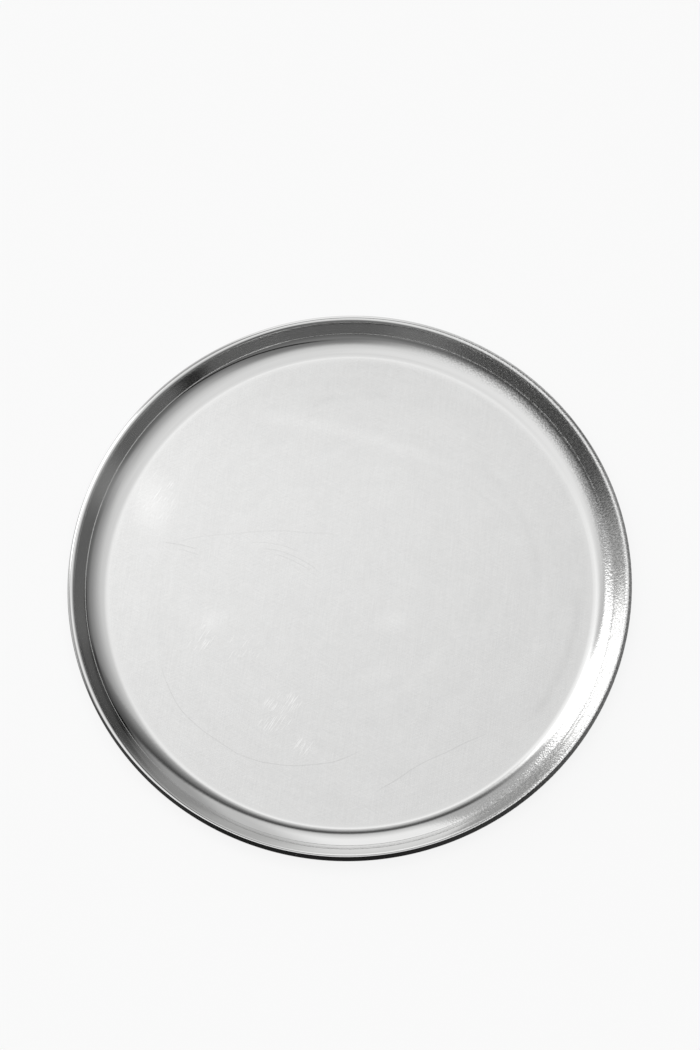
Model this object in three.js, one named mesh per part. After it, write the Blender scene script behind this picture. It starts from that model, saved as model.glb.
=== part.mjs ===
// A round serving tray, pressed from one disc of steel sheet, in millimetres with +Z up.
// The origin is on the surface that the tray stands on, below the middle of its floor.
//
// The floor is flat. A wide cove and a tighter bend turn the sheet up into a short leaning wall, and
// the sheet's edge is rolled outwards and down over a round steel wire. The wire is a ring of its
// own. It lies loose in the rolled edge, and its two cut ends are butted together.
import * as THREE from "three";

// Driving dimensions of the tray.
const RIM_DIAMETER = 350; // over the rolled edge
const FLOOR_DIAMETER = 302; // the flat part of the inside
const TRAY_HEIGHT = 16; // from the surface it stands on to the top of the rolled edge

// The steel sheet.
const SHEET_THICKNESS = 0.6;
const COVE_RADIUS = 22; // of the inside face, where the floor turns up
const COVE_TURN = THREE.MathUtils.degToRad(31.5); // how far the cove turns before the tighter bend
const WALL_BEND_RADIUS = 10; // of the inside face, from the cove to the wall

// The wire and the rolled edge that holds it.
const WIRE_DIAMETER = 3.2;
const WIRE_CLEARANCE = 0.3; // all round the wire, inside the rolled edge
const CURL_LIP_GAP = 0.5; // from the sheet's cut edge back to the outside of the wall
const WIRE_BUTT_GAP = 1; // between the wire's two cut ends

// Fineness of the faceted surfaces.
const STEPS_ROUND_TRAY = 80;
const STEPS_ROUND_WIRE = 10;
const COVE_STEPS = 6;
const WALL_BEND_STEPS = 5;
const CURL_STEPS_PER_QUARTER = 4;

const FULL_TURN = 2 * Math.PI;
const QUARTER_TURN = FULL_TURN / 4;

const CAVITY_RADIUS = WIRE_DIAMETER / 2 + WIRE_CLEARANCE;
const CURL_RADIUS = CAVITY_RADIUS + SHEET_THICKNESS;
const WIRE_RING_RADIUS = RIM_DIAMETER / 2 - CURL_RADIUS;
const WIRE_HEIGHT = TRAY_HEIGHT - CURL_RADIUS;

// One point of the sheet on the (radius, height) half plane: where its inside face is, and the
// sheet's slope there. The outside face follows one sheet thickness away, square to that slope.
function sheetPoint(radius, height, slope) {
  return { inside: new THREE.Vector2(radius, height), slope };
}

function outsideOf({ inside, slope }) {
  return new THREE.Vector2(
    inside.x + SHEET_THICKNESS * Math.sin(slope),
    inside.y - SHEET_THICKNESS * Math.cos(slope),
  );
}

// A bend through a list of slopes. The inside face turns up below its centre, as in the cove and the
// bend above it, or passes over its centre, as in the rolled edge.
function bend(centre, bendRadius, slopes, turnsUp) {
  const side = turnsUp ? 1 : -1;
  return slopes.map((slope) =>
    sheetPoint(
      centre.x + side * bendRadius * Math.sin(slope),
      centre.y - side * bendRadius * Math.cos(slope),
      slope,
    ),
  );
}

// Slopes from the first to the last, in even steps between the stops that lie on the way.
function slopesThrough(stops, stepsPerQuarter) {
  const slopes = [stops[0]];
  for (let leg = 1; leg < stops.length; leg += 1) {
    const turn = stops[leg] - stops[leg - 1];
    const steps = Math.ceil((Math.abs(turn) / QUARTER_TURN) * stepsPerQuarter);
    for (let step = 1; step <= steps; step += 1) {
      slopes.push(stops[leg - 1] + (turn * step) / steps);
    }
  }
  return slopes;
}

// How far over the wire the sheet goes before its cut edge would come too near the wall again.
function curlAngle() {
  const lipTouchesWall = Math.acos(CAVITY_RADIUS / CURL_RADIUS);
  return FULL_TURN - lipTouchesWall - CURL_LIP_GAP / CAVITY_RADIUS;
}

// The centres of the cove and of the wall's bend, with both radii times the same share. The bend
// goes on with the slope that the cove ends with, so its centre is on the line from the cove's centre
// to the place where the two meet.
function turnUp(share) {
  const coveRadius = COVE_RADIUS * share;
  const bendRadius = WALL_BEND_RADIUS * share;
  const coveCentre = new THREE.Vector2(FLOOR_DIAMETER / 2, SHEET_THICKNESS + coveRadius);
  const towardsBend = new THREE.Vector2(Math.sin(COVE_TURN), -Math.cos(COVE_TURN));
  const bendCentre = coveCentre.clone().addScaledVector(towardsBend, coveRadius - bendRadius);
  const between = new THREE.Vector2(WIRE_RING_RADIUS, WIRE_HEIGHT).sub(bendCentre);
  const reach = bendRadius + CURL_RADIUS;
  return { coveRadius, bendRadius, coveCentre, bendCentre, between, reach };
}

// The cove and the bend in their full size, or so much smaller that the wall above them stays as
// long as the curl's radius.
function fittingTurnUp() {
  const shortestSpan = (reach) => Math.hypot(reach, CURL_RADIUS);
  let share = 1;
  while (share > 0.1 && turnUp(share).between.length() < shortestSpan(turnUp(share).reach)) {
    share *= 0.98;
  }
  return turnUp(share);
}

// Numbers from the first to the last, in even steps.
function evenly(from, to, steps) {
  return Array.from({ length: steps + 1 }, (_, step) => from + ((to - from) * step) / steps);
}

// The sheet from the middle of the floor to its rolled edge. The wall is the straight line that
// touches both the bend and the curl.
function sheetLine() {
  const { coveRadius, bendRadius, coveCentre, bendCentre, between, reach } = fittingTurnUp();
  const curlCentre = new THREE.Vector2(WIRE_RING_RADIUS, WIRE_HEIGHT);
  const wallSlope = Math.atan2(between.y, between.x) + Math.asin(reach / between.length());
  const lipSlope = wallSlope - curlAngle();
  const coveSlopes = evenly(0, COVE_TURN, COVE_STEPS);
  const bendSlopes = evenly(COVE_TURN, wallSlope, WALL_BEND_STEPS).slice(1);
  // The curl has a point at its top, at its outermost and at its lowest, so its sizes are exact.
  const quarters = [0, 1, 2, 3].map((count) => -count * QUARTER_TURN);
  const passed = quarters.filter((slope) => slope > lipSlope);
  const curlSlopes = slopesThrough([wallSlope, ...passed, lipSlope], CURL_STEPS_PER_QUARTER);
  return [
    sheetPoint(0, SHEET_THICKNESS, 0),
    ...bend(coveCentre, coveRadius, coveSlopes, true),
    ...bend(bendCentre, bendRadius, bendSlopes, true),
    ...bend(curlCentre, CURL_RADIUS, curlSlopes, false),
  ];
}

function makePan() {
  const line = sheetLine();
  const section = [...line.map(outsideOf), ...line.map(({ inside }) => inside).reverse()];
  const geometry = new THREE.LatheGeometry(section, STEPS_ROUND_TRAY);
  geometry.rotateX(QUARTER_TURN); // the lathe turns about Y, and the tray about Z
  return geometry;
}

// The line that the wire follows: a ring that stops short of a full turn by the butt gap.
class OpenRing extends THREE.Curve {
  constructor(ringRadius, height, gap) {
    super();
    this.ringRadius = ringRadius;
    this.height = height;
    this.gapAngle = gap / ringRadius;
  }

  getPoint(share, target = new THREE.Vector3()) {
    const angle = QUARTER_TURN + this.gapAngle / 2 + share * (FULL_TURN - this.gapAngle);
    return target.set(this.ringRadius * Math.cos(angle), this.ringRadius * Math.sin(angle), this.height);
  }
}

function makeWire() {
  const section = new THREE.Shape();
  section.absarc(0, 0, WIRE_DIAMETER / 2, 0, FULL_TURN, false);
  return new THREE.ExtrudeGeometry(section, {
    curveSegments: STEPS_ROUND_WIRE / 2,
    steps: STEPS_ROUND_TRAY,
    extrudePath: new OpenRing(WIRE_RING_RADIUS, WIRE_HEIGHT, WIRE_BUTT_GAP),
  });
}

const sheetSteel = new THREE.MeshStandardMaterial({ color: 0xd8d8d6, roughness: 0.32, metalness: 1 });
const wireSteel = new THREE.MeshStandardMaterial({ color: 0x9c9c9a, roughness: 0.45, metalness: 1 });

const tray = new THREE.Group();

const pan = new THREE.Mesh(makePan(), sheetSteel);
pan.name = "tray_pan";
tray.add(pan);

const wire = new THREE.Mesh(makeWire(), wireSteel);
wire.name = "rim_wire";
tray.add(wire);

export default tray;
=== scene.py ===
# %% [markdown]
# # A round serving tray
#
# The tray is one disc of steel sheet. Its floor is flat and brushed, a wide cove turns the sheet
# up into a short, leaning, polished wall, and the edge is rolled outwards over a steel wire. This lesson
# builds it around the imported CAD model, which gives its place and its size.

# %% Open the CAD frame
import math

import bpy
from mathutils import Matrix, Vector


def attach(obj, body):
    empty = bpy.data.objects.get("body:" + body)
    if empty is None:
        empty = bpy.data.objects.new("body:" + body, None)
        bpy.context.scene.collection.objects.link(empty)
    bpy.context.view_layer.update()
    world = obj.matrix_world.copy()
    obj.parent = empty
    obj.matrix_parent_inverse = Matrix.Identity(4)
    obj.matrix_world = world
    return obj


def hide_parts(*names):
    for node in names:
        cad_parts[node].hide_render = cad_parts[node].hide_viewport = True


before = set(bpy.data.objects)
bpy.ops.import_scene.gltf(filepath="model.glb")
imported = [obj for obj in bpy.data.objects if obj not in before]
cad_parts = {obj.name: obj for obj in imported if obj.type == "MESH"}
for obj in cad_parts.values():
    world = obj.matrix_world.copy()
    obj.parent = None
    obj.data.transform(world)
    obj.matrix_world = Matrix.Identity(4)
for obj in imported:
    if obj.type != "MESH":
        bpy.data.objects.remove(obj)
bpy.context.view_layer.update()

# %% [markdown]
# ## The tray's sizes
#
# Every size is in metres, as in the CAD model. The sheet turns up in two bends: a wide cove first,
# and then a tighter bend into the leaning wall. The rolled edge is a roll of sheet over a wire with
# a little air between them, so its radius is the sum of the three.

# %% Sizes of the tray
MM = 0.001
RIM_RADIUS = 175 * MM
FLOOR_RADIUS = 151 * MM
TRAY_HEIGHT = 16 * MM
SHEET = 0.6 * MM
COVE_RADIUS = 22 * MM
COVE_TURN = math.radians(31.5)
BEND_RADIUS = 10 * MM
WIRE_RADIUS = 1.6 * MM
WIRE_CLEARANCE = 0.3 * MM
LIP_GAP = 0.5 * MM
WIRE_BUTT_GAP = 1 * MM
ROLL_RADIUS = WIRE_RADIUS + WIRE_CLEARANCE + SHEET
print("rolled edge in mm:", round(2 * ROLL_RADIUS / MM, 2), "across")

# %% [markdown]
# ## A helper for node trees
#
# Geometry, material and world trees are all lists of nodes with links between them. One small
# class adds a node and fills its inputs, with a plain value or with another node's output, so a
# rule in a tree reads like a sum on paper.


# %% A helper that adds nodes
class Nodes:
    def __init__(self, tree):
        self.tree = tree

    def add(self, kind, inputs=None, output=0, **settings):
        node = self.tree.nodes.new(kind)
        for name, value in settings.items():
            setattr(node, name, value)
        for key, value in (inputs or {}).items():
            if isinstance(value, bpy.types.NodeSocket):
                self.tree.links.new(value, node.inputs[key])
            else:
                node.inputs[key].default_value = value
        return node.outputs[output]

    def math(self, operation, *values):
        return self.add("ShaderNodeMath", dict(enumerate(values)), operation=operation)

    def total(self, *values):
        result = values[0]
        for value in values[1:]:
            result = self.math("ADD", result, value)
        return result

    def product(self, *values):
        result = values[0]
        for value in values[1:]:
            result = self.math("MULTIPLY", result, value)
        return result

    def split(self, vector):
        """A vector's x, y and z."""
        return tuple(self.add("ShaderNodeSeparateXYZ", {"Vector": vector}, output=i) for i in range(3))

    def sine(self, angle):
        return self.math("SINE", angle)

    def cosine(self, angle):
        return self.math("COSINE", angle)

    def length(self, x, y):
        return self.math("SQRT", self.total(self.product(x, x), self.product(y, y)))

    def blend(self, share, first, second):
        return self.add("ShaderNodeMix", {0: share, 2: first, 3: second})

    def turned(self, place, turn, scale, seed=0.0):
        """The place seen from axes that are turned about Z, and then stretched."""
        inputs = {"Vector": place, "Rotation": (0, 0, math.radians(-turn)), "Location": (seed, seed, seed)}
        aligned = self.add("ShaderNodeMapping", inputs)
        return self.add("ShaderNodeVectorMath", {0: aligned, 1: scale}, operation="MULTIPLY")

    def ease(self, value, low, high, start=0.0, end=1.0):
        """From start to end, softly, as value goes from low to high."""
        inputs = {"Value": value, "From Min": low, "From Max": high, "To Min": start, "To Max": end}
        return self.add("ShaderNodeMapRange", inputs, interpolation_type="SMOOTHSTEP")


print("node helper ready")

# %% [markdown]
# ## The pressed and rolled sheet
#
# On a real tray a press forms the floor and the cove, and a beading machine rolls the edge. Here
# the sheet follows one rule: it runs flat, turns up in two bends, runs straight and bends back over
# the wire.
# A lathe-like turn of a hand-drawn outline would do, but then each size would be lost in a list
# of points. Geometry Nodes keep the sizes as named inputs: a grid is laid out with one direction
# along the sheet and the other round the tray, and each of its points is put where the rule says.

# %% The rule that bends the sheet
SHEET_INPUTS = {
    "Floor Radius": FLOOR_RADIUS,
    "Cove Radius": COVE_RADIUS,
    "Cove Turn": COVE_TURN,
    "Bend Radius": BEND_RADIUS,
    "Roll Radius": ROLL_RADIUS,
    "Rim Radius": RIM_RADIUS,
    "Tray Height": TRAY_HEIGHT,
    "Sheet": SHEET,
    "Lip Gap": LIP_GAP,
}
SHEET_COUNTS = {
    "Rings on Floor": 10,
    "Rings on Cove": 34,
    "Rings on Bend": 20,
    "Rings on Wall": 4,
    "Rings on Roll": 44,
    "Steps Round": 384,
}


def new_geometry_tree(name, lengths, counts):
    """A node tree with named inputs, a material input and a geometry output."""
    tree = bpy.data.node_groups.new(name, "GeometryNodeTree")
    for size_name, value in lengths.items():
        socket = tree.interface.new_socket(size_name, in_out="INPUT", socket_type="NodeSocketFloat")
        socket.subtype = "ANGLE" if size_name.endswith("Turn") else "DISTANCE"
        socket.default_value = value
    for count_name, value in counts.items():
        socket = tree.interface.new_socket(count_name, in_out="INPUT", socket_type="NodeSocketInt")
        socket.default_value = value
    tree.interface.new_socket("Finish", in_out="INPUT", socket_type="NodeSocketMaterial")
    tree.interface.new_socket("Geometry", in_out="OUTPUT", socket_type="NodeSocketGeometry")
    given = tree.nodes.new("NodeGroupInput").outputs
    return tree, given


def finish_geometry_tree(nodes, geometry, given):
    """Ends a tree with the finish and with plain, realized geometry."""
    geometry = nodes.add("GeometryNodeSetMaterial", {"Geometry": geometry, "Material": given["Finish"]})
    geometry = nodes.add("GeometryNodeRealizeInstances", {"Geometry": geometry})
    result = nodes.tree.nodes.new("NodeGroupOutput")
    nodes.tree.links.new(geometry, result.inputs["Geometry"])


def pressed_sheet_tree():
    tree, given = new_geometry_tree("pressed_sheet", SHEET_INPUTS, SHEET_COUNTS)
    n = Nodes(tree)
    floor, cove, bend, roll, sheet = (
        given[name] for name in ("Floor Radius", "Cove Radius", "Bend Radius", "Roll Radius", "Sheet")
    )
    parts = ("Rings on Floor", "Rings on Cove", "Rings on Bend", "Rings on Wall", "Rings on Roll")
    counts = [given[name] for name in parts]

    # The bend goes on where the cove ends, so its centre is on the line back to the cove's centre.
    cove_turn = given["Cove Turn"]
    wider = n.math("SUBTRACT", cove, bend)
    bend_radius = n.total(floor, n.product(wider, n.sine(cove_turn)))
    bend_height = n.math("SUBTRACT", n.total(sheet, cove), n.product(wider, n.cosine(cove_turn)))

    # The wall is the straight line that touches the bend's circle and the roll's circle.
    across = n.math("SUBTRACT", n.math("SUBTRACT", given["Rim Radius"], roll), bend_radius)
    up = n.math("SUBTRACT", n.math("SUBTRACT", given["Tray Height"], roll), bend_height)
    apart = n.length(across, up)
    both = n.total(bend, roll)
    wall_slope = n.total(n.math("ARCTAN2", up, across), n.math("ARCSINE", n.math("DIVIDE", both, apart)))
    wall = n.math("SQRT", n.math("SUBTRACT", n.product(apart, apart), n.product(both, both)))
    bend_turn = n.math("SUBTRACT", wall_slope, cove_turn)

    # The roll stops before its cut edge would touch the wall again.
    hollow = n.math("SUBTRACT", roll, sheet)
    touching = n.math("ARCCOSINE", n.math("DIVIDE", hollow, roll))
    lip_turn = n.total(touching, n.math("DIVIDE", given["Lip Gap"], hollow))
    roll_turn = n.math("SUBTRACT", math.tau, lip_turn)

    # The grid's first half of rings is the outside face, and its second half comes back inside.
    stations = n.total(*counts, 1.0)
    ring_total = n.product(stations, 2.0)
    round_total = n.total(given["Steps Round"], 1.0)
    grid = n.add("GeometryNodeMeshGrid", {"Vertices X": ring_total, "Vertices Y": round_total})
    index = n.add("GeometryNodeInputIndex")
    ring = n.math("FLOOR", n.math("DIVIDE", index, round_total))
    step = n.math("SUBTRACT", index, n.product(ring, round_total))
    back = n.math("SUBTRACT", n.math("SUBTRACT", ring_total, 1.0), ring)
    station = n.math("MINIMUM", ring, back)
    outside = n.math("LESS_THAN", ring, stations)

    # How much of each part of the sheet lies before a point, from 0 to 1.
    shares, start = [], 0.0
    for count in counts:
        share = n.math("DIVIDE", n.math("SUBTRACT", station, start), count)
        shares.append(n.math("MINIMUM", n.math("MAXIMUM", share, 0.0), 1.0))
        start = n.total(start, count)
    on_floor, on_cove, on_bend, on_wall, on_roll = shares

    cove_slope = n.product(cove_turn, on_cove)
    bend_slope = n.total(cove_turn, n.product(bend_turn, on_bend))
    roll_slope = n.math("SUBTRACT", wall_slope, n.product(roll_turn, on_roll))
    slope = n.math(
        "SUBTRACT", n.total(cove_slope, n.product(bend_turn, on_bend)), n.product(roll_turn, on_roll)
    )
    radius = n.total(
        n.product(floor, on_floor),
        n.product(cove, n.sine(cove_slope)),
        n.product(bend, n.math("SUBTRACT", n.sine(bend_slope), n.sine(cove_turn))),
        n.product(wall, on_wall, n.cosine(wall_slope)),
        n.product(roll, n.math("SUBTRACT", n.sine(wall_slope), n.sine(roll_slope))),
        n.product(sheet, outside, n.sine(slope)),
    )
    height = n.total(
        sheet,
        n.product(cove, n.math("SUBTRACT", 1.0, n.cosine(cove_slope))),
        n.product(bend, n.math("SUBTRACT", n.cosine(cove_turn), n.cosine(bend_slope))),
        n.product(wall, on_wall, n.sine(wall_slope)),
        n.product(roll, n.math("SUBTRACT", n.cosine(roll_slope), n.cosine(wall_slope))),
        n.product(sheet, outside, n.cosine(slope), -1.0),
    )
    run = n.total(
        n.product(floor, on_floor),
        n.product(cove, cove_slope),
        n.product(bend, bend_turn, on_bend),
        n.product(wall, on_wall),
        n.product(roll, roll_turn, on_roll),
    )
    angle = n.product(n.math("DIVIDE", step, given["Steps Round"]), math.tau)
    place = n.add(
        "ShaderNodeCombineXYZ",
        {"X": n.product(radius, n.cosine(angle)), "Y": n.product(radius, n.sine(angle)), "Z": height},
    )

    shaped = n.add("GeometryNodeSetPosition", {"Geometry": grid, "Position": place})
    for name, value in (("run", run), ("slope", slope), ("outside", outside)):
        shaped = n.add(
            "GeometryNodeStoreNamedAttribute",
            {"Geometry": shaped, "Name": name, "Value": value},
            data_type="FLOAT",
            domain="POINT",
        )
    closed = n.add("GeometryNodeMergeByDistance", {"Geometry": shaped, "Distance": 0.001 * MM})
    finish_geometry_tree(n, closed, given)
    return tree


sheet_tree = pressed_sheet_tree()
print("pressed sheet:", len(sheet_tree.nodes), "nodes")

# %% [markdown]
# ## From a tree to a plain mesh
#
# A modifier's inputs are set by the socket's identifier. The evaluated result becomes a mesh of
# its own, with no modifier left, and its sharp edges are marked: only the cut edge of the sheet
# and the ends of the wire have any.


# %% Turn a tree's result into a mesh
def made_by(tree, name, values, sharp_angle=math.radians(40)):
    maker = bpy.data.objects.new(name + "_maker", bpy.data.meshes.new(name + "_maker"))
    bpy.context.scene.collection.objects.link(maker)
    modifier = maker.modifiers.new("rule", "NODES")
    modifier.node_group = tree
    for item in tree.interface.items_tree:
        if item.item_type == "SOCKET" and item.in_out == "INPUT" and item.name in values:
            modifier[item.identifier] = values[item.name]
    bpy.context.view_layer.update()
    evaluated = maker.evaluated_get(bpy.context.evaluated_depsgraph_get())
    mesh = bpy.data.meshes.new_from_object(evaluated)
    mesh.name = name
    bpy.data.objects.remove(maker)
    mesh.polygons.foreach_set("use_smooth", [True] * len(mesh.polygons))
    mesh.set_sharp_from_angle(angle=sharp_angle)
    piece = bpy.data.objects.new(name, mesh)
    bpy.context.scene.collection.objects.link(piece)
    return piece


def describe(piece):
    mesh = piece.data
    mesh.calc_loop_triangles()
    volume = 0.0
    for triangle in mesh.loop_triangles:
        a, b, c = (mesh.vertices[i].co for i in triangle.vertices)
        volume += a.dot(b.cross(c)) / 6
    print(piece.name, len(mesh.loop_triangles), "triangles,", round(volume * 1e6, 2), "cm3")
    return volume


print("mesh helper ready")

# %% [markdown]
# ## Steel, brushed and polished
#
# All of the tray is bare steel. Its floor is brushed in short strokes that cross, which spreads a
# reflection, and carries the marks of use. The cove, the wall and the rolled edge are polished and
# show the room almost as a mirror would. So the colour hardly changes, and the roughness and a very
# fine relief make the difference. A scanned picture of steel would be quicker, but it would carry
# its own room with it. The finish is built from rules in the tray's own coordinates instead.

# %% The steel's colour and a start for each material
STEEL = (0.705, 0.705, 0.70)


def new_material(name):
    material = bpy.data.materials.new(name)
    material.use_nodes = True
    material.node_tree.nodes.clear()
    return material, Nodes(material.node_tree)


def finish_material(n, shader):
    out = n.tree.nodes.new("ShaderNodeOutputMaterial")
    n.tree.links.new(shader, out.inputs["Surface"])


print("steel reflects", STEEL)

# %% [markdown]
# ## The brushing
#
# Three sets of fine strokes cross each other, each a noise that is stretched along its strokes.
# A fine speckle lies between them.


# %% Crossing strokes
BRUSH_TURNS = {12: 0.0, -38: 3.1, 74: 7.7}
STROKES_PER_METRE = (85, 1500, 1)
SPECKLES_PER_METRE = 1700


def crossing_strokes(n, place):
    """A value about 0.5 that wanders with the brush strokes."""
    strokes = []
    for turn, seed in BRUSH_TURNS.items():
        stretched = n.turned(place, turn, STROKES_PER_METRE, seed)
        strokes.append(n.add("ShaderNodeTexNoise", {"Vector": stretched, "Scale": 1.0, "Detail": 2.0}))
    speckle = n.add("ShaderNodeTexNoise", {"Vector": place, "Scale": SPECKLES_PER_METRE, "Detail": 1.0})
    return n.product(n.total(*strokes, speckle), 1 / (len(strokes) + 1))


print("brush strokes:", len(BRUSH_TURNS), "directions")

# %% [markdown]
# ## Swirls, hairlines and pale bands
#
# Wiping and stacking leave marks that follow arcs. The broad swirls are a noise that runs round a
# point near the middle. Single marks are arcs with a soft edge: a thin dark one is a hairline
# scratch, and a broad pale one is a brighter band. Each is given by its centre, radius and end
# angles, in millimetres and degrees.

# %% Marks that follow an arc
SWIRL_CENTRE = (6 * MM, -10 * MM, 0)
SWIRL_RINGS_PER_METRE = 70
ARC_MARKS = {
    "long hairline": {"centre": (-35, -20), "radius": 89, "start": -172, "end": -70, "width": 0.55, "shade": -0.10},
    "near hairline": {"centre": (172.7, -491.4), "radius": 400, "start": 105, "end": 116, "width": 0.6, "shade": -0.09},
    "wiped stroke, inner": {"centre": (-60, -20), "radius": 50.5, "start": 42, "end": 72, "width": 0.5, "shade": -0.08},
    "wiped stroke, middle": {"centre": (-60, -20), "radius": 53.3, "start": 38, "end": 80, "width": 0.6, "shade": -0.07},
    "wiped stroke, outer": {"centre": (-60, -20), "radius": 57, "start": 55, "end": 88, "width": 0.5, "shade": -0.06},
    "faint line across": {"centre": (-83, -250), "radius": 295, "start": 74, "end": 95, "width": 0.8, "shade": -0.04},
    "left mark": {"centre": (-142.7, -49.4), "radius": 100, "start": 60, "end": 72, "width": 0.6, "shade": -0.10},
    "left mark's twin": {"centre": (-142.7, -49.4), "radius": 97, "start": 58, "end": 66, "width": 0.5, "shade": -0.08},
    "right swirl": {"centre": (18, -3), "radius": 100, "start": -42, "end": 44, "width": 5.0, "shade": -0.02},
    "right swirl, outer": {"centre": (10, -2), "radius": 132, "start": -48, "end": -8, "width": 5.0, "shade": -0.05},
    "far swirl": {"centre": (15, -4), "radius": 128, "start": 78, "end": 102, "width": 4.0, "shade": -0.03},
    "right pale band": {"centre": (-2, 0), "radius": 121, "start": -46, "end": -6, "width": 8.0, "shade": 0.03},
    "far pale band": {"centre": (-184, -360), "radius": 500, "start": 59, "end": 74, "width": 7.0, "shade": 0.035},
    "near pale band": {"centre": (-20, 20), "radius": 99, "start": -76, "end": -40, "width": 7.0, "shade": 0.02},
}
MARK_WAVER = 2.2 * MM


def swirls(n, place):
    """A shade about 0 that follows broad polishing arcs and is weak in the middle."""
    about = n.add("ShaderNodeVectorMath", {0: place, 1: SWIRL_CENTRE}, operation="SUBTRACT")
    x, y, _ = n.split(about)
    radius = n.length(x, y)
    across = n.add(
        "ShaderNodeCombineXYZ",
        {
            "X": n.product(radius, SWIRL_RINGS_PER_METRE),
            "Y": n.product(n.math("DIVIDE", x, radius), 2.2),
            "Z": n.product(n.math("DIVIDE", y, radius), 2.2),
        },
    )
    arcs = n.add("ShaderNodeTexNoise", {"Vector": across, "Scale": 1.0, "Detail": 3.0, "Distortion": 1.4})
    clouds = n.add("ShaderNodeTexNoise", {"Vector": place, "Scale": 45.0, "Detail": 2.0})
    arcs = n.product(n.math("SUBTRACT", arcs, 0.5), n.ease(radius, 30 * MM, 110 * MM, 0.3, 1.0))
    return n.total(arcs, n.product(n.math("SUBTRACT", clouds, 0.5), 0.7))


def arc_marks(n, place):
    """The shade of all single marks together."""
    waver = n.add("ShaderNodeTexNoise", {"Vector": place, "Scale": 28.0, "Detail": 1.0})
    waver = n.product(n.math("SUBTRACT", waver, 0.5), 2 * MARK_WAVER)
    shades = []
    for mark in ARC_MARKS.values():
        x, y = (n.math("SUBTRACT", side, middle * MM) for side, middle in zip(n.split(place), mark["centre"]))
        off = n.math("SUBTRACT", n.total(n.length(x, y), waver), mark["radius"] * MM)
        near = n.ease(n.math("ABSOLUTE", off), 0.0, mark["width"] * MM, 1.0, 0.0)
        half_turn = math.radians(mark["end"] - mark["start"]) / 2
        middle_turn = math.radians(mark["end"] + mark["start"]) / 2
        ahead = n.total(n.product(x, math.cos(middle_turn)), n.product(y, math.sin(middle_turn)))
        aside = n.math("ABSOLUTE", n.math("SUBTRACT", n.product(y, math.cos(middle_turn)), n.product(x, math.sin(middle_turn))))
        turn = n.math("ARCTAN2", aside, ahead)
        along = n.ease(turn, 0.75 * half_turn, 1.1 * half_turn, 1.0, 0.0)
        shades.append(n.product(near, along, mark["shade"]))
    return n.total(*shades)


print("marks that follow an arc:", len(ARC_MARKS))

# %% [markdown]
# ## Patches of short scratches
#
# Where something was set down and pushed, short scratches lie side by side, all in one direction,
# and the floor is made brighter along them as a painted glint. Each patch lets a stretched noise
# through only where it peaks.

# %% Patches of short scratches with a painted glint
SCRATCH_PATCHES = {
    "near patch, upper": {"centre": (-50, -68), "half": (13, 6), "dense": 0.61},
    "near patch, lower": {"centre": (-57, -80), "half": (11, 5), "dense": 0.60},
    "near patch, right": {"centre": (-41, -97), "half": (7, 6), "dense": 0.61},
    "left patch": {"centre": (-97, -20), "half": (11, 9), "dense": 0.66},
    "far left patch": {"centre": (-112, 76), "half": (13, 20), "dense": 0.70},
    "middle patch": {"centre": (-70, -30), "half": (14, 10), "dense": 0.70},
}
SCRATCH_TURN = 49
SCRATCHES_PER_METRE = (95, 1900, 1)


def scratch_patches(n, place):
    """1 on a scratch and 0 beside it."""
    x, y, _ = n.split(place)
    stretched = n.turned(place, SCRATCH_TURN, SCRATCHES_PER_METRE)
    streaks = n.add("ShaderNodeTexNoise", {"Vector": stretched, "Scale": 1.0, "Detail": 0.0})
    shown = 0.0
    for patch in SCRATCH_PATCHES.values():
        sides = []
        for side, middle, half in zip((x, y), patch["centre"], patch["half"]):
            sides.append(n.math("DIVIDE", n.math("SUBTRACT", side, middle * MM), half * MM))
        inside = n.ease(n.length(*sides), 0.7, 1.15, 1.0, 0.0)
        peaks = n.ease(streaks, patch["dense"], patch["dense"] + 0.06)
        shown = n.math("MAXIMUM", shown, n.product(inside, peaks))
    return shown


print("patches of scratches:", len(SCRATCH_PATCHES))

# %% [markdown]
# ## Pale spots
#
# A few places of the floor are brighter in colour than the rest, with no edge at all.

# %% Pale spots
PALE_SPOTS = {
    "far left": {"centre": (-117, 72), "half": (17, 27), "shade": 0.12},
    "left": {"centre": (-89, -9), "half": (14, 11), "shade": 0.07},
    "middle": {"centre": (23, -25), "half": (15, 10), "shade": 0.05},
    "near": {"centre": (11, -59), "half": (16, 10), "shade": 0.03},
}


def pale_spots(n, place):
    """The shade of all pale spots together."""
    x, y, _ = n.split(place)
    shades = []
    for spot in PALE_SPOTS.values():
        sides = []
        for side, middle, half in zip((x, y), spot["centre"], spot["half"]):
            sides.append(n.math("DIVIDE", n.math("SUBTRACT", side, middle * MM), half * MM))
        shades.append(n.product(n.ease(n.length(*sides), 0.0, 1.1, 1.0, 0.0), spot["shade"]))
    return n.total(*shades)


print("pale spots:", len(PALE_SPOTS))

# %% [markdown]
# ## The polished wall
#
# The polishing wheel runs round the tray, so its lines do too. The pressed steel below them is
# never quite even: it has a slight peel, like the skin of an orange, that breaks up the edges of
# a reflection.


# %% Lines and peel of the wall
LINES_PER_METRE = 2400
PEELS_PER_METRE = 330
MOTTLES_PER_METRE = (950, 950, 380)
MOTTLED_MIDDLE, MOTTLED_HALF = -5, 80


def polishing_lines(n, place, run):
    x, y, _ = n.split(place)
    radius = n.length(x, y)
    inputs = {
        "X": n.product(run, LINES_PER_METRE),
        "Y": n.product(n.math("DIVIDE", x, radius), 3.0),
        "Z": n.product(n.math("DIVIDE", y, radius), 3.0),
    }
    around = n.add("ShaderNodeCombineXYZ", inputs)
    return n.add("ShaderNodeTexNoise", {"Vector": around, "Scale": 1.0, "Detail": 3.0})


def orange_peel(n, place):
    return n.add("ShaderNodeTexNoise", {"Vector": place, "Scale": PEELS_PER_METRE, "Detail": 3.0, "Roughness": 0.6})


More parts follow.
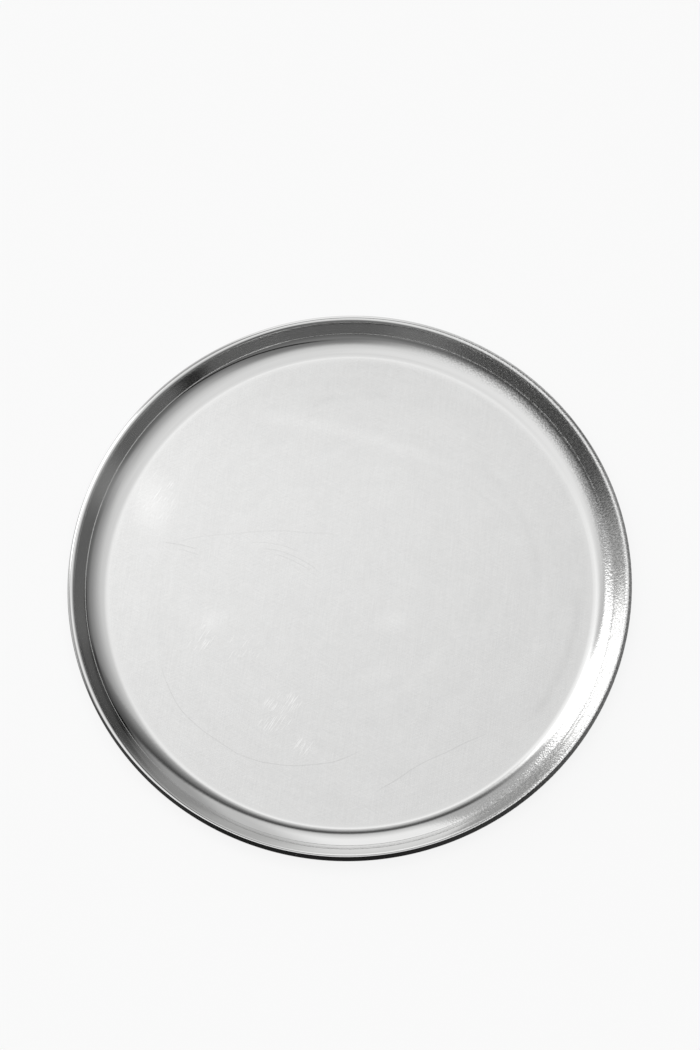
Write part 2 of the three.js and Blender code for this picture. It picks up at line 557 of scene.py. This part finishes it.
def mottling(n, place, run):
    """Where the polishing left the wall rough, on one side of the tray, and the dimples there."""
    x, y, _ = n.split(place)
    turn = n.math("SUBTRACT", n.math("ARCTAN2", y, x), math.radians(MOTTLED_MIDDLE))
    side = n.ease(n.math("ABSOLUTE", turn), math.radians(45), math.radians(MOTTLED_HALF), 1.0, 0.0)
    stretched = n.add("ShaderNodeVectorMath", {0: place, 1: MOTTLES_PER_METRE}, operation="MULTIPLY")
    side = n.product(side, n.ease(run, FLOOR_RADIUS + 5 * MM, FLOOR_RADIUS + 12 * MM))
    dimples = n.add("ShaderNodeTexNoise", {"Vector": stretched, "Scale": 1.0, "Detail": 1.0})
    return side, dimples


print("polishing lines in mm:", round(1 / LINES_PER_METRE / MM, 2), "apart")

# %% [markdown]
# ## The finish of the whole sheet
#
# The sheet carries three values: how far a point is from the middle along the sheet, how steep the
# sheet is there, and whether it is the outer face. The first and the last say which finish shows
# where; the steepness is not read.

# %% The sheet's finish
FLOOR_SHADE = -0.02
FLOOR_ROUGHNESS = 0.17
WALL_ROUGHNESS = 0.075
# The outer face is duller, and its colour is darkened as painted shade so that the outer side of the rolled edge looks
# dark.
UNDERSIDE_ROUGHNESS = 0.30
UNDERSIDE_PAINTED_SHADE = -0.20
GLANCING_COAT, GLANCING_COAT_ROUGHNESS = 0.8, 0.06
FLOOR_RELIEF = 0.004 * MM
LINE_RELIEF = 0.0004 * MM
PEEL_RELIEF = 0.012 * MM
MOTTLED_ROUGHNESS = 0.10
MOTTLE_RELIEF = 0.14 * MM
# Dark and bright specks in the colour of the mottled side: painted shade and painted glints for a reflection that the
# dimples break up.
MOTTLE_PAINTED_GLINT_AND_SHADE = 1.5


def steel_sheet_material():
    material, n = new_material("brushed_and_polished_steel")
    place = n.add("ShaderNodeTexCoord", output="Object")
    run = n.add("ShaderNodeAttribute", attribute_name="run", output="Fac")
    outside = n.add("ShaderNodeAttribute", attribute_name="outside", output="Fac")
    polished = n.ease(run, FLOOR_RADIUS - 3.5 * MM, FLOOR_RADIUS + 2.5 * MM)
    brushed = n.math("SUBTRACT", 1.0, polished)
    strokes = crossing_strokes(n, place)
    swirl = swirls(n, place)
    scratches = n.product(scratch_patches(n, place), brushed)
    lines = polishing_lines(n, place, run)
    peel = orange_peel(n, place)
    mottled, mottles = mottling(n, place, run)

    floor_shade = n.total(
        FLOOR_SHADE,
        n.product(n.math("SUBTRACT", strokes, 0.5), 0.42),
        n.product(swirl, 0.07),
        arc_marks(n, place),
        pale_spots(n, place),
    )
    # On the mottled side the wall's colour carries the painted glints and shade.
    wall_shade = n.total(
        n.product(n.math("SUBTRACT", lines, 0.5), 0.08),
        n.product(n.math("SUBTRACT", mottles, 0.5), mottled, MOTTLE_PAINTED_GLINT_AND_SHADE),
    )
    shade = n.blend(polished, floor_shade, wall_shade)
    # the outer face takes the painted shade
    shade = n.blend(outside, shade, UNDERSIDE_PAINTED_SHADE)
    # the scratches' brightness is a painted glint
    bright = n.total(1.0, shade, n.product(scratches, 0.17))
    colour = n.add("ShaderNodeVectorMath", {0: STEEL, "Scale": bright}, operation="SCALE")

    floor_relief = n.product(strokes, FLOOR_RELIEF)
    wall_relief = n.total(
        n.product(lines, LINE_RELIEF), n.product(peel, PEEL_RELIEF), n.product(mottles, mottled, MOTTLE_RELIEF)
    )
    relief = n.blend(polished, floor_relief, wall_relief)
    bump = n.add("ShaderNodeBump", {"Height": relief, "Strength": 1.0, "Distance": 1.0})

    floor_roughness = n.total(FLOOR_ROUGHNESS - 0.03, n.product(strokes, 0.06))
    wall_roughness = n.total(WALL_ROUGHNESS - 0.02, n.product(lines, 0.04))
    wall_roughness = n.total(wall_roughness, n.product(mottled, MOTTLED_ROUGHNESS))
    roughness = n.blend(polished, floor_roughness, wall_roughness)
    roughness = n.blend(outside, roughness, UNDERSIDE_ROUGHNESS)

    inputs = {
        "Base Color": colour,
        "Metallic": 1.0,
        "Roughness": roughness,
        "Normal": bump,
        "Coat Weight": GLANCING_COAT,
        "Coat Roughness": GLANCING_COAT_ROUGHNESS,
    }
    finish_material(n, n.add("ShaderNodeBsdfPrincipled", inputs))
    return material


sheet_steel = steel_sheet_material()
print("sheet steel:", len(sheet_steel.node_tree.nodes), "nodes")

# %% Make the tray pan
pan_values = dict(SHEET_INPUTS, **SHEET_COUNTS, Finish=sheet_steel)
tray_pan = made_by(sheet_tree, "pressed_tray", pan_values)
if describe(tray_pan) < 0:
    tray_pan.data.flip_normals()
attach(tray_pan, "root")
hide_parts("tray_pan")

# %% [markdown]
# ## The wire in the rolled edge
#
# The wire only shows from below, in the slit where the sheet's cut edge stops. It is drawn steel,
# duller than the sheet, bent to a ring whose two ends stop a millimetre apart.

# %% The wire ring
WIRE_INPUTS = {
    "Ring Radius": RIM_RADIUS - ROLL_RADIUS,
    "Wire Radius": WIRE_RADIUS,
    "Height": TRAY_HEIGHT - ROLL_RADIUS,
    "Butt Gap": WIRE_BUTT_GAP,
}
WIRE_COUNTS = {"Steps Round": 360, "Steps Across": 20}


def wire_ring_tree():
    tree, given = new_geometry_tree("wire_ring", WIRE_INPUTS, WIRE_COUNTS)
    n = Nodes(tree)
    gap = n.math("DIVIDE", given["Butt Gap"], given["Ring Radius"])
    start = n.total(math.pi / 2, n.product(gap, 0.5))
    ring = n.add(
        "GeometryNodeCurveArc",
        {"Resolution": given["Steps Round"], "Radius": given["Ring Radius"], "Start Angle": start,
         "Sweep Angle": n.math("SUBTRACT", math.tau, gap)},
    )
    section = n.add("GeometryNodeCurvePrimitiveCircle", {"Resolution": given["Steps Across"], "Radius": given["Wire Radius"]})
    wire = n.add("GeometryNodeCurveToMesh", {"Curve": ring, "Profile Curve": section, "Fill Caps": True})
    lift = n.add("ShaderNodeCombineXYZ", {"Z": given["Height"]})
    lifted = n.add("GeometryNodeSetPosition", {"Geometry": wire, "Offset": lift})
    finish_geometry_tree(n, lifted, given)
    return tree


def drawn_wire_material():
    material, n = new_material("drawn_steel_wire")
    place = n.add("ShaderNodeTexCoord", output="Object")
    specks = n.add("ShaderNodeTexNoise", {"Vector": place, "Scale": 1500.0, "Detail": 3.0})
    roughness = n.total(0.36, n.product(specks, 0.2))
    colour = n.add("ShaderNodeMix", {0: specks, 6: (0.42, 0.42, 0.41, 1.0), 7: (0.56, 0.56, 0.55, 1.0)}, output=2, data_type="RGBA")
    bump = n.add("ShaderNodeBump", {"Height": n.product(specks, 0.003 * MM), "Strength": 1.0, "Distance": 1.0})
    shader = n.add(
        "ShaderNodeBsdfPrincipled", {"Base Color": colour, "Metallic": 1.0, "Roughness": roughness, "Normal": bump}
    )
    out = n.tree.nodes.new("ShaderNodeOutputMaterial")
    n.tree.links.new(shader, out.inputs["Surface"])
    return material


wire_steel = drawn_wire_material()
wire_values = dict(WIRE_INPUTS, **WIRE_COUNTS, Finish=wire_steel)
rim_wire = made_by(wire_ring_tree(), "rolled_in_wire", wire_values)
if describe(rim_wire) < 0:
    rim_wire.data.flip_normals()
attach(rim_wire, "root")
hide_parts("rim_wire")

# %% [markdown]
# ## The studio
#
# Polished steel has no look of its own: it shows the room. So the room is built with care. It is
# a large dome around the tray that shines by itself, painted with the soft shapes that a small
# daylight studio has: a pale ceiling, a bright window, a white screen under a dark arch, and
# darker walls. A direction is given by its azimuth, clockwise from the far side, and by its
# elevation above the floor, both in degrees. Lamps alone would leave the steel black between them.

# %% The light of the room and the cards in it
DOME_RADIUS = 20.0
ROOM_LIGHT = [(0, 0.15), (20, 0.185), (30, 0.245), (43, 0.385), (55, 0.56), (67, 0.78), (80, 0.93)]
CARD_LIGHT = 1.13
UNDER_FLOOR = -60
CARDS = {
    "ceiling, left": {"middle": -45, "half": 62, "soft": 25, "low": 66, "high": 79, "fade": 7, "light": 0.95},
    "glow over the arch": {
        "middle": -10, "half": 26, "soft": 16, "low": 60, "high": 73, "fade": 5, "light": 1.15,
    },
    "upper left wall": {
        "middle": -100, "half": 50, "soft": 25, "low": 50, "high": 90, "fade": 10, "light": 0.94, "opacity": 0.7,
    },
    "lower left wall": {
        "middle": -112, "half": 24, "soft": 12, "low": UNDER_FLOOR, "high": 21, "fade": 8, "light": 0.065,
    },
    "near left corner": {
        "middle": -150, "half": 9, "soft": 6, "low": UNDER_FLOOR, "high": 10, "fade": 5, "light": 0.24,
    },
    "near wall": {
        "middle": 178, "half": 26, "soft": 16, "low": 34, "high": 61, "fade": 8, "light": 0.13, "opacity": 0.7,
    },
    "window reveal": {
        "middle": -69, "half": 12, "soft": 8, "low": UNDER_FLOOR, "high": 38, "fade": 12, "light": 0.52,
    },
    "window": {"middle": -46, "half": 16, "soft": 5, "low": 7, "high": 45, "fade": 5, "light": 2.0},
    "window, low": {
        "middle": -47, "half": 8, "soft": 5, "low": UNDER_FLOOR, "high": 12, "fade": 5, "light": 1.8,
    },
    "window's foot, left": {
        "middle": -60, "half": 5, "soft": 4, "low": UNDER_FLOOR, "high": 7, "fade": 5, "light": 0.95,
    },
    "window's foot, right": {
        "middle": -35, "half": 5, "soft": 4, "low": UNDER_FLOOR, "high": 10, "fade": 5, "light": 0.72,
    },
    "window top": {
        "middle": -40, "half": 9, "soft": 5, "low": 44, "high": 66, "fade": 4, "light": 2.0,
        "lean": 1.0, "above": 46,
    },
    "screen, right": {
        "middle": 16, "half": 26, "soft": 7, "low": UNDER_FLOOR, "high": 54, "fade": 6, "light": 0.40,
    },
    "screen, middle": {
        "middle": 6, "half": 21, "soft": 5, "low": UNDER_FLOOR, "high": 60, "fade": 6, "light": 0.62,
        "lean": 0.1, "above": 12,
    },
    "screen, bright": {
        "middle": -2, "half": 15, "soft": 7, "low": UNDER_FLOOR, "high": 44, "fade": 12, "light": 1.02,
        "lean": 0.1, "above": 12,
    },
    "pier": {
        "middle": -25, "half": 10, "soft": 3, "low": UNDER_FLOOR, "high": 58, "fade": 5, "light": 0.48,
        "lean": 0.2, "above": 5,
    },
    "dark stand": {
        "middle": 58, "half": 10, "soft": 3.5, "low": UNDER_FLOOR, "high": 21, "fade": 6, "light": 0.0,
    },
    "stand's shade": {
        "middle": 76, "half": 7, "soft": 5, "low": UNDER_FLOOR, "high": 10, "fade": 6, "light": 0.02,
        "opacity": 0.9,
    },
    "light strip": {
        "middle": 108, "half": 6, "soft": 5, "low": UNDER_FLOOR, "high": 80, "fade": 8, "light": 1.0,
        "opacity": 0.12, "lean": -1.4, "above": 52,
    },
    "leaning pole": {
        "middle": 134, "half": 4.5, "soft": 3, "low": UNDER_FLOOR, "high": 46, "fade": 5, "light": 0.0,
        "opacity": 0.93, "lean": 1.0,
    },
}
ARCH = {"middle": 2, "top": 57.4, "bend": 0.0138, "light": 0.09, "left": -17, "right": 68, "end": 8}
ARCH_EDGE_BELOW = (-7.5, -0.5)
ARCH_SHADE_ABOVE = (0.5, 12.5)
ARCH_SHADE_END = (11.0, 14.0)
ARCH_SHADE_LEFT = 0.30
print("studio:", len(CARDS), "cards and an arch")

# %% [markdown]
# ## How a card is painted
#
# A card is laid over the light that is there already, with soft edges, and may lean to one side
# above some height. The arch is the one curved shape: the dark upper edge of the screen's frame,
# with a shade above it that fades upwards.


# %% Paint cards and the arch
def card(n, below, azimuth, elevation, middle, half, soft, low, high, fade, light, lean=0, above=0, opacity=1):
    shift = n.product(n.math("MAXIMUM", n.math("SUBTRACT", elevation, above), 0.0), lean)
    beside = n.math("SUBTRACT", n.math("SUBTRACT", azimuth, middle), shift)
    beside = n.math("ABSOLUTE", n.math("WRAP", beside, 180.0, -180.0))
    mask = n.product(
        n.ease(beside, half - soft, half + soft, 1.0, 0.0),
        n.ease(elevation, low - fade, low + fade),
        n.ease(elevation, high - fade, high + fade, 1.0, 0.0),
        opacity,
    )
    return n.blend(mask, below, CARD_LIGHT * light)


def arch(n, below, azimuth, elevation, middle, top, bend, light, left, right, end):
    beside = n.math("SUBTRACT", azimuth, middle)
    edge = n.math("SUBTRACT", top, n.product(beside, beside, bend))
    steep = n.product(beside, 2 * bend)
    off = n.math("DIVIDE", n.math("SUBTRACT", elevation, edge), n.length(steep, 1.0))
    fading = {
        "Value": off,
        "From Min": ARCH_SHADE_ABOVE[0],
        "From Max": ARCH_SHADE_ABOVE[1],
        "To Min": 1.0,
        "To Max": ARCH_SHADE_LEFT,
    }
    mask = n.product(
        n.ease(off, *ARCH_EDGE_BELOW),
        n.add("ShaderNodeMapRange", fading),
        n.ease(off, *ARCH_SHADE_END, 1.0, 0.0),
        n.ease(azimuth, left - end, left + end),
        n.ease(azimuth, right - end, right + end, 1.0, 0.0),
    )
    return n.blend(mask, below, light)


def painted_dome():
    material, n = new_material("studio_light")
    x, y, z = n.split(n.add("ShaderNodeTexCoord", output="Object"))
    azimuth = n.math("DEGREES", n.math("ARCTAN2", x, y))
    elevation = n.math("DEGREES", n.math("ARCTAN2", z, n.length(x, y)))
    light = ROOM_LIGHT[0][1]
    for (low, start), (high, end) in zip(ROOM_LIGHT, ROOM_LIGHT[1:]):
        inputs = {"Value": elevation, "From Min": low, "From Max": high, "To Min": 0.0, "To Max": end - start}
        light = n.total(light, n.add("ShaderNodeMapRange", inputs))
    for shape in CARDS.values():
        light = card(n, light, azimuth, elevation, **shape)
    light = arch(n, light, azimuth, elevation, **ARCH)
    finish_material(n, n.add("ShaderNodeEmission", {"Strength": light}))
    material.cycles.emission_sampling = "NONE"
    return material


bpy.ops.mesh.primitive_uv_sphere_add(segments=96, ring_count=48, radius=DOME_RADIUS)
studio_dome = bpy.context.object
studio_dome.name = "studio_dome"
studio_dome.data.materials.append(painted_dome())
studio_dome.visible_camera = False
print("dome:", len(studio_dome.data.materials[0].node_tree.nodes), "nodes")

# %% [markdown]
# ## A black flag at the near rim
#
# A shiny edge on a white ground disappears unless something dark shows in it. So a black flag
# stands round the near half of the rim, outside the picture's view of it: only the steel sees it.
# It lies on the floor a little way off, rises and leans in over the edge. Towards the sides it
# reaches less far over the edge and is paler.

# %% The flag
FLAG_INNER, FLAG_OUTER, FLAG_AWAY = 188 * MM, 215 * MM, 12 * MM
# angle from the near side, how far up it reaches as the rolled edge sees it, and its light
FLAG_STOPS = [
    (-118, 0, 0.60),
    (-100, 2, 0.30),
    (-85, 8, 0.12),
    (-62, 56, 0.06),
    (-35, 86, 0.02),
    (0, 96, 0.018),
    (32, 90, 0.055),
    (60, 70, 0.19),
    (92, 44, 0.26),
    (120, 28, 0.42),
    (150, 4, 0.65),
    (170, 0, 0.75),
]
FLAG_STEP = 2


def between_stops(angle):
    for (low, *first), (high, *last) in zip(FLAG_STOPS, FLAG_STOPS[1:]):
        if low <= angle <= high:
            share = (angle - low) / (high - low)
            return [a + share * (b - a) for a, b in zip(first, last)]
    raise ValueError(angle)


def flag_mesh():
    points, lights, faces = [], [], []
    for angle in range(FLAG_STOPS[0][0], FLAG_STOPS[-1][0] + 1, FLAG_STEP):
        reach, light = between_stops(angle)
        lean = min(1.0, reach / 40)
        near_radius = RIM_RADIUS - ROLL_RADIUS + FLAG_AWAY * math.cos(math.radians(reach))
        top_height = lean * (TRAY_HEIGHT + FLAG_AWAY * math.sin(math.radians(reach)))
        top_radius = FLAG_OUTER + lean * (near_radius - FLAG_OUTER)
        turn = math.radians(angle - 90)
        for radius, height in ((FLAG_INNER, 0), (FLAG_OUTER, 0), (FLAG_OUTER, 0.6 * top_height), (top_radius, top_height)):
            points.append((radius * math.cos(turn), radius * math.sin(turn), height))
            lights.append(light)
    for start in range(0, len(points) - 4, 4):
        for i in range(3):
            faces.append((start + i, start + i + 1, start + i + 5, start + i + 4))
    mesh = bpy.data.meshes.new("black_flag")
    mesh.from_pydata(points, [], faces)
    mesh.attributes.new("light", "FLOAT", "POINT").data.foreach_set("value", lights)
    return mesh


def flag_material():
    material, n = new_material("flag_cloth")
    light = n.add("ShaderNodeAttribute", attribute_name="light", output="Fac")
    finish_material(n, n.add("ShaderNodeEmission", {"Strength": light}))
    material.cycles.emission_sampling = "NONE"
    return material


black_flag = bpy.data.objects.new("black_flag", flag_mesh())
bpy.context.scene.collection.objects.link(black_flag)
black_flag.data.materials.append(flag_material())
black_flag.visible_camera = black_flag.visible_diffuse = black_flag.visible_shadow = False
print("flag:", len(black_flag.data.polygons), "faces")

# %% [markdown]
# ## Floor, backdrop and fill light
#
# The tray lies on a pale floor that runs out of the picture. A very soft lamp straight above fills
# the floor, and the steel doesn't mirror it. A white floor that is only lit comes out grey near
# the tray, so it also shows a share of its own white, and the rest of it takes the tray's shadow.

# %% The pale floor and the lamp above it
FLOOR_WHITE = 0.93
FLOOR_SHOWN_WHITE = 0.90
SHOWN_WHITE_LIGHT = 0.95
BACKDROP = 0.945
FILL_WATTS = 46
FILL_SIZE, FILL_HEIGHT = 3.0, 3.0


def pale_floor_material():
    material, n = new_material("pale_floor")
    rays = n.tree.nodes.new("ShaderNodeLightPath").outputs
    shown = n.math("MAXIMUM", rays["Is Camera Ray"], rays["Is Glossy Ray"])
    shown = n.math("MAXIMUM", shown, rays["Is Transmission Ray"])
    paper = n.add("ShaderNodeBsdfDiffuse", {"Color": (FLOOR_WHITE, FLOOR_WHITE, FLOOR_WHITE, 1)})
    white = n.add("ShaderNodeEmission", {"Strength": SHOWN_WHITE_LIGHT})
    mixed = n.add("ShaderNodeMixShader", {0: n.product(shown, FLOOR_SHOWN_WHITE), 1: paper, 2: white})
    finish_material(n, mixed)
    return material


bpy.ops.mesh.primitive_circle_add(vertices=96, radius=DOME_RADIUS, fill_type="NGON", location=(0, 0, 0))
pale_floor = bpy.context.object
pale_floor.name = "pale_floor"
for vertex in pale_floor.data.vertices:
    vertex.co.z = -0.2 * MM
pale_floor.data.materials.append(pale_floor_material())

bpy.ops.object.light_add(type="AREA", location=(0, 0, FILL_HEIGHT))
fill_lamp = bpy.context.object
fill_lamp.name = "fill_lamp"
fill_lamp.data.shape = "DISK"
fill_lamp.data.size = FILL_SIZE
fill_lamp.data.energy = FILL_WATTS
fill_lamp.visible_glossy = False

world = bpy.data.worlds.new("pale_backdrop")
world.use_nodes = True
world.node_tree.nodes["Background"].inputs["Color"].default_value = (BACKDROP, BACKDROP, BACKDROP, 1)
bpy.context.scene.world = world
print("floor, fill light and backdrop ready")

# %% [markdown]
# ## The camera
#
# The photograph was taken from nearly overhead, from about 1.75 m, with the camera rolled a
# little. The lens follows from how large the rim is in the picture.

# %% Camera at the photograph's angle
PICTURE_WIDTH, PICTURE_HEIGHT = 700, 1050
CAMERA_DISTANCE = 1.75
CAMERA_ELEVATION = math.radians(74.71)
CAMERA_ROLL = math.radians(-7.84)
FOCAL_PIXELS = 2823.6
SENSOR = 36.0
RIM_CENTRE_PIXEL = (348.8, 581.1)

target = Vector((0, 0, TRAY_HEIGHT - ROLL_RADIUS))
ahead = Vector((0, math.cos(CAMERA_ELEVATION), -math.sin(CAMERA_ELEVATION)))
upright = Vector((1, 0, 0)).cross(ahead)
right = math.cos(CAMERA_ROLL) * Vector((1, 0, 0)) + math.sin(CAMERA_ROLL) * upright
above = -math.sin(CAMERA_ROLL) * Vector((1, 0, 0)) + math.cos(CAMERA_ROLL) * upright
beside = (RIM_CENTRE_PIXEL[0] - PICTURE_WIDTH / 2) / FOCAL_PIXELS
below = (RIM_CENTRE_PIXEL[1] - PICTURE_HEIGHT / 2) / FOCAL_PIXELS
aim = (ahead - right * beside + above * below).normalized()
right = (right - aim * right.dot(aim)).normalized()
above = right.cross(aim)

camera_data = bpy.data.cameras.new("camera")
camera_data.sensor_width = SENSOR
camera_data.lens = FOCAL_PIXELS * SENSOR / PICTURE_HEIGHT
camera_data.clip_start, camera_data.clip_end = 0.05, 100
camera = bpy.data.objects.new("camera", camera_data)
bpy.context.scene.collection.objects.link(camera)
turn = Matrix((right, above, -aim)).transposed().to_4x4()
camera.matrix_world = Matrix.Translation(target - ahead * CAMERA_DISTANCE) @ turn
bpy.context.scene.camera = camera
bpy.context.scene.view_settings.view_transform = "Standard"
print("lens in mm:", round(camera_data.lens, 1))
